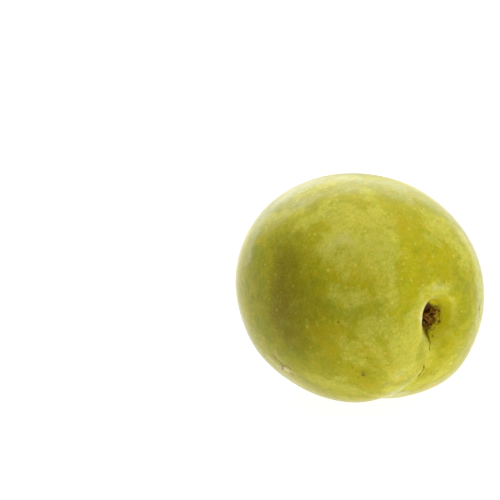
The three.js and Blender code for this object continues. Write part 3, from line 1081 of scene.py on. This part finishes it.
def makeSkinMaterial():
    material, tree = newMaterial("plumSkin")
    shine = skinShine
    place = millimetres(tree)
    other = mapped(tree, place, **grainPlaces["other"])
    dots = paleDots(tree, place, other)
    film, dusting = bloomFilm(tree, place, other)
    colour = fleshColour(tree, place, other)
    colour = layBloom(tree, colour, film, dusting, place)
    colour = layFlecks(tree, colour, dots, place, other)
    # painted highlight along the near lip's crest
    colour = over(tree, colour, times(tree, attribute(tree, "lipHighlightPaint"), dusting), "lip")
    colour = over(tree, colour, times(tree, attribute(tree, "grazePaint"), dusting), "graze")
    colour = layRusset(tree, colour, place)
    colour = laySplit(tree, colour, place)
    colour = layMarks(tree, colour, place)
    rough = ease(tree, film, *shine["roughFrom"], shine["roughness"], shine["bloomRoughness"])
    shader = addNode(tree, "ShaderNodeBsdfPrincipled", {
        "Base Color": colour,
        "Roughness": rough,
        "Normal": skinBump(tree, dots, place),
        "IOR": shine["refraction"],
        "Specular Tint": shine["shineTint"],
        "Subsurface Weight": shine["translucence"],
        "Subsurface Radius": shine["translucenceColour"],
        "Subsurface Scale": shine["translucenceDepth"],
        "Sheen Weight": shine["sheen"],
        "Sheen Roughness": shine["sheenRoughness"],
        "Sheen Tint": shine["sheenTint"],
    })
    addNode(tree, "ShaderNodeOutputMaterial", {"Surface": shader.outputs[0]})
    return material


skin.data.materials.append(makeSkinMaterial())
print("skin material:", len(skin.data.materials[0].node_tree.nodes), "nodes")


# The stalk scar: a corky disc with torn ridges.

scar = {
    "radius": 1.80 * mm,
    "steps": 140,
    "profile": 40,
    "height": 0.8 * mm,
    "sunk": 0.3 * mm,
    "edge": (1.0, 0.80),       # share of the radius where it rises
    "flatShare": 0.35,         # of its height
    "ridgeShare": 0.55,
    "crumbShare": 0.10,
    "crumbScale": 3.1,         # how much finer than the ridges
    "dimple": 0.35,            # share of its height
    "dimpleRadius": 0.35,      # share of its radius
    "ridgeLength": 0.62 * mm,
    "ridgeSharpness": 2.6,
    "ridgeSeed": Vector((2.2, 5.1, 0.4)),
    "warp": 0.9,
    "warpScale": 0.8,
    "warpSeed": Vector((9, 4, 2)),
    "ragged": ((5, 1, 0.07), (9, 0, 0.05)),    # turns, phase, share of the radius
    "raggedNoise": 0.05,
    "topShare": 0.76,          # it reaches less far upwards
    "lightSlant": 0.6,         # its far and lower part is the light one
}


def makeScar():
    low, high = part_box("stalk_scar")
    middle = (low + high) / 2
    bm = bmesh.new()
    step = scar["radius"] / (scar["profile"] - 1)
    line = [bm.verts.new((0, step * i, 0)) for i in range(scar["profile"])]
    edges = [bm.edges.new(pair) for pair in zip(line, line[1:])]
    bmesh.ops.spin(bm, geom=line + edges, cent=(0, 0, 0), axis=(1, 0, 0), angle=2 * pi,
                   steps=scar["steps"], use_merge=True)
    bmesh.ops.remove_doubles(bm, verts=bm.verts, dist=1e-7)
    ridgeLayer = bm.verts.layers.float.new("ridge")
    lightLayer = bm.verts.layers.float.new("lightSide")
    for v in bm.verts:
        share = hypot(v.co.y, v.co.z) / scar["radius"]
        angle = atan2(v.co.z, v.co.y)
        spot = Vector((v.co.y, v.co.z, 0)) / scar["ridgeLength"]
        bent = spot * scar["warpScale"]
        warp = Vector((noise.noise(bent), noise.noise(bent + scar["warpSeed"]), 0))
        trough = abs(noise.noise(spot + warp * scar["warp"] + scar["ridgeSeed"]))
        ridge = 1 - min(1, trough * scar["ridgeSharpness"])
        crumbs = noise.noise(spot * scar["crumbScale"])
        v[ridgeLayer] = ridge
        v[lightLayer] = (v.co.y - scar["lightSlant"] * v.co.z) / scar["radius"]
        relief = scar["flatShare"] + scar["ridgeShare"] * ridge + scar["crumbShare"] * crumbs
        v.co.x = scar["height"] * smoothStep(share, *scar["edge"]) * relief
        v.co.x -= scar["height"] * scar["dimple"] * exp(-(share / scar["dimpleRadius"]) ** 2)
        ragged = sum(part * sin(turns * angle + phase) for turns, phase, part in scar["ragged"])
        ragged += scar["raggedNoise"] * noise.noise(spot)
        v.co.y *= 1 + ragged * share ** 2
        v.co.z *= (1 + ragged * share ** 2) * (scar["topShare"] if v.co.z > 0 else 1)
    rim = [e for e in bm.edges if e.is_boundary]
    skirt = bmesh.ops.extrude_edge_only(bm, edges=rim)
    foot = [v for v in skirt["geom"] if isinstance(v, bmesh.types.BMVert)]
    bmesh.ops.translate(bm, verts=foot, vec=(-scar["sunk"], 0, 0))
    bmesh.ops.holes_fill(bm, edges=[e for e in bm.edges if e.is_boundary], sides=0)
    bmesh.ops.translate(bm, verts=bm.verts, vec=(low.x, middle.y, middle.z))
    bmesh.ops.recalc_face_normals(bm, faces=bm.faces)
    return newObject("stalk_scar_cork", bm)


scarPiece = makeScar()
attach(scarPiece, "root")
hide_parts("stalk_scar")

corkLook = {
    "dark": (0.048, 0.014, 0.001),
    "brown": (0.19, 0.080, 0.007),
    "light": (0.40, 0.29, 0.008),
    "tan": (0.43, 0.25, 0.055),
    "brownRidge": (0.15, 0.6),     # height of the ridges, from dark to brown
    "tanRidge": (0.6, 0.95),
    "tanCover": (0.3, 0.9),        # between and on the patches
    "patches": {"Size": 0.9, "Detail": 3.0, "Start": 0.45, "End": 0.6},
    "fine": {"Size": 0.16, "Detail": 3.0, "Start": 0.35, "End": 0.7},
    "fineCover": 0.35,
    "lightEdge": (0.0, 0.6),
    "lightEdgeSwing": 0.5,
    "lightCover": 0.9,
    "bumpStrength": 0.7,
    "bumpDepth": 0.06 * mm,
    "refraction": 1.2,
    "shineTint": (1.0, 0.85, 0.4, 1),
    "roughness": 0.9,
}


def makeCorkMaterial():
    material, tree = newMaterial("stalkCork")
    look = corkLook
    place = millimetres(tree)
    ridge = attribute(tree, "ridge")
    side = attribute(tree, "lightSide")
    patches = useGroup(tree, mottleGroup, {"Position": place} | look["patches"])
    fine = useGroup(tree, mottleGroup, {"Position": place} | look["fine"])
    colour = blendColour(tree, ease(tree, ridge, *look["brownRidge"]), look["dark"], look["brown"])
    crest = between(tree, patches, *look["tanCover"])
    crest = times(tree, ease(tree, ridge, *look["tanRidge"]), crest)
    colour = blendColour(tree, crest, colour, look["tan"])
    colour = blendColour(tree, times(tree, fine, look["fineCover"]), colour, look["dark"])
    shift = times(tree, calc(tree, "SUBTRACT", patches, 0.5), look["lightEdgeSwing"])
    light = ease(tree, add(tree, side, shift), *look["lightEdge"], 0.0, look["lightCover"])
    colour = blendColour(tree, light, colour, look["light"])
    bump = addNode(tree, "ShaderNodeBump", {
        "Height": fine,
        "Strength": look["bumpStrength"],
        "Distance": look["bumpDepth"],
    })
    shader = addNode(tree, "ShaderNodeBsdfPrincipled", {
        "Base Color": colour,
        "Roughness": look["roughness"],
        "IOR": look["refraction"],
        "Specular Tint": look["shineTint"],
        "Normal": bump.outputs["Normal"],
    })
    addNode(tree, "ShaderNodeOutputMaterial", {"Surface": shader.outputs[0]})
    return material


scarPiece.data.materials.append(makeCorkMaterial())
print("stalk scar:", len(scarPiece.data.polygons), "faces")


# A white table that glows, in a room of large softboxes.

studio = {
    "tableRadius": 3,
    "tableSides": 96,
    "tableWhite": (0.20, 0.20, 0.20, 1),
    "tableRoughness": 0.8,
    "tableGlow": 1.22,         # what it adds to the light on the plum
    "tableGlowSeen": 0.95,     # what the camera sees
    "dimPlace": (0.022, -0.078, 0),    # the glow is weaker around here
    "dimRadius": 0.085,
    "dimShare": 1.0,
    "ambient": 0.02,
}
# Softboxes: azimuth from the camera's side to its right, elevation, half width, strength.
softboxes = {
    "overhead": (0, 90, 50, 0.70),
    "highLeft": (-120, 45, 50, 0.54),
    "highBeyond": (180, 45, 50, 2.40),
    "lowBeyond": (180, 8, 50, 0.95),
    "highFront": (60, 45, 50, 1.38),
}


def makeTable():
    bm = bmesh.new()
    radius, sides = studio["tableRadius"], studio["tableSides"]
    bmesh.ops.create_circle(bm, cap_ends=True, radius=radius, segments=sides)
    table = newObject("table", bm)
    material, tree = newMaterial("tableWhite")
    seen = addNode(tree, "ShaderNodeLightPath").outputs["Is Camera Ray"]
    spot = addNode(tree, "ShaderNodeTexCoord").outputs["Object"]
    gap = vector(tree, "DISTANCE", spot, studio["dimPlace"])["Value"]
    dim = ease(tree, gap, 0.0, studio["dimRadius"], studio["dimShare"], 0.0)
    lit = times(tree, calc(tree, "SUBTRACT", 1.0, dim), studio["tableGlow"])
    change = calc(tree, "SUBTRACT", studio["tableGlowSeen"], lit)
    glow = calc(tree, "MULTIPLY_ADD", seen, change, lit)
    shader = addNode(tree, "ShaderNodeBsdfPrincipled", {
        "Base Color": studio["tableWhite"],
        "Roughness": studio["tableRoughness"],
        "Emission Color": (1, 1, 1, 1),
        "Emission Strength": glow,
    })
    addNode(tree, "ShaderNodeOutputMaterial", {"Surface": shader.outputs[0]})
    table.data.materials.append(material)


def makeWorld():
    world = bpy.data.worlds.new("studio")
    world.use_nodes = True
    scene.world = world
    tree = world.node_tree
    tree.nodes.clear()
    heading = addNode(tree, "ShaderNodeTexCoord").outputs["Generated"]
    right, up, back = cameraAxes()
    front = Vector((back.x, back.y, 0)).normalized()
    strength = studio["ambient"]
    for azimuth, elevation, spread, power in softboxes.values():
        a, e = radians(azimuth), radians(elevation)
        aim = (front * cos(a) + right * sin(a)) * cos(e) + Vector((0, 0, sin(e)))
        towards = vector(tree, "DOT_PRODUCT", heading, aim)["Value"]
        box = ease(tree, towards, cos(radians(spread)), 1.0, 0.0, power)
        strength = add(tree, strength, box)
    seen = addNode(tree, "ShaderNodeLightPath").outputs["Is Camera Ray"]
    strength = calc(tree, "MAXIMUM", strength, seen)       # plain white behind the table
    background = addNode(tree, "ShaderNodeBackground", {"Color": (1, 1, 1, 1), "Strength": strength})
    addNode(tree, "ShaderNodeOutputWorld", {"Surface": background.outputs[0]})


makeTable()
makeWorld()
scene.view_settings.view_transform = "Standard"
print("studio ready")
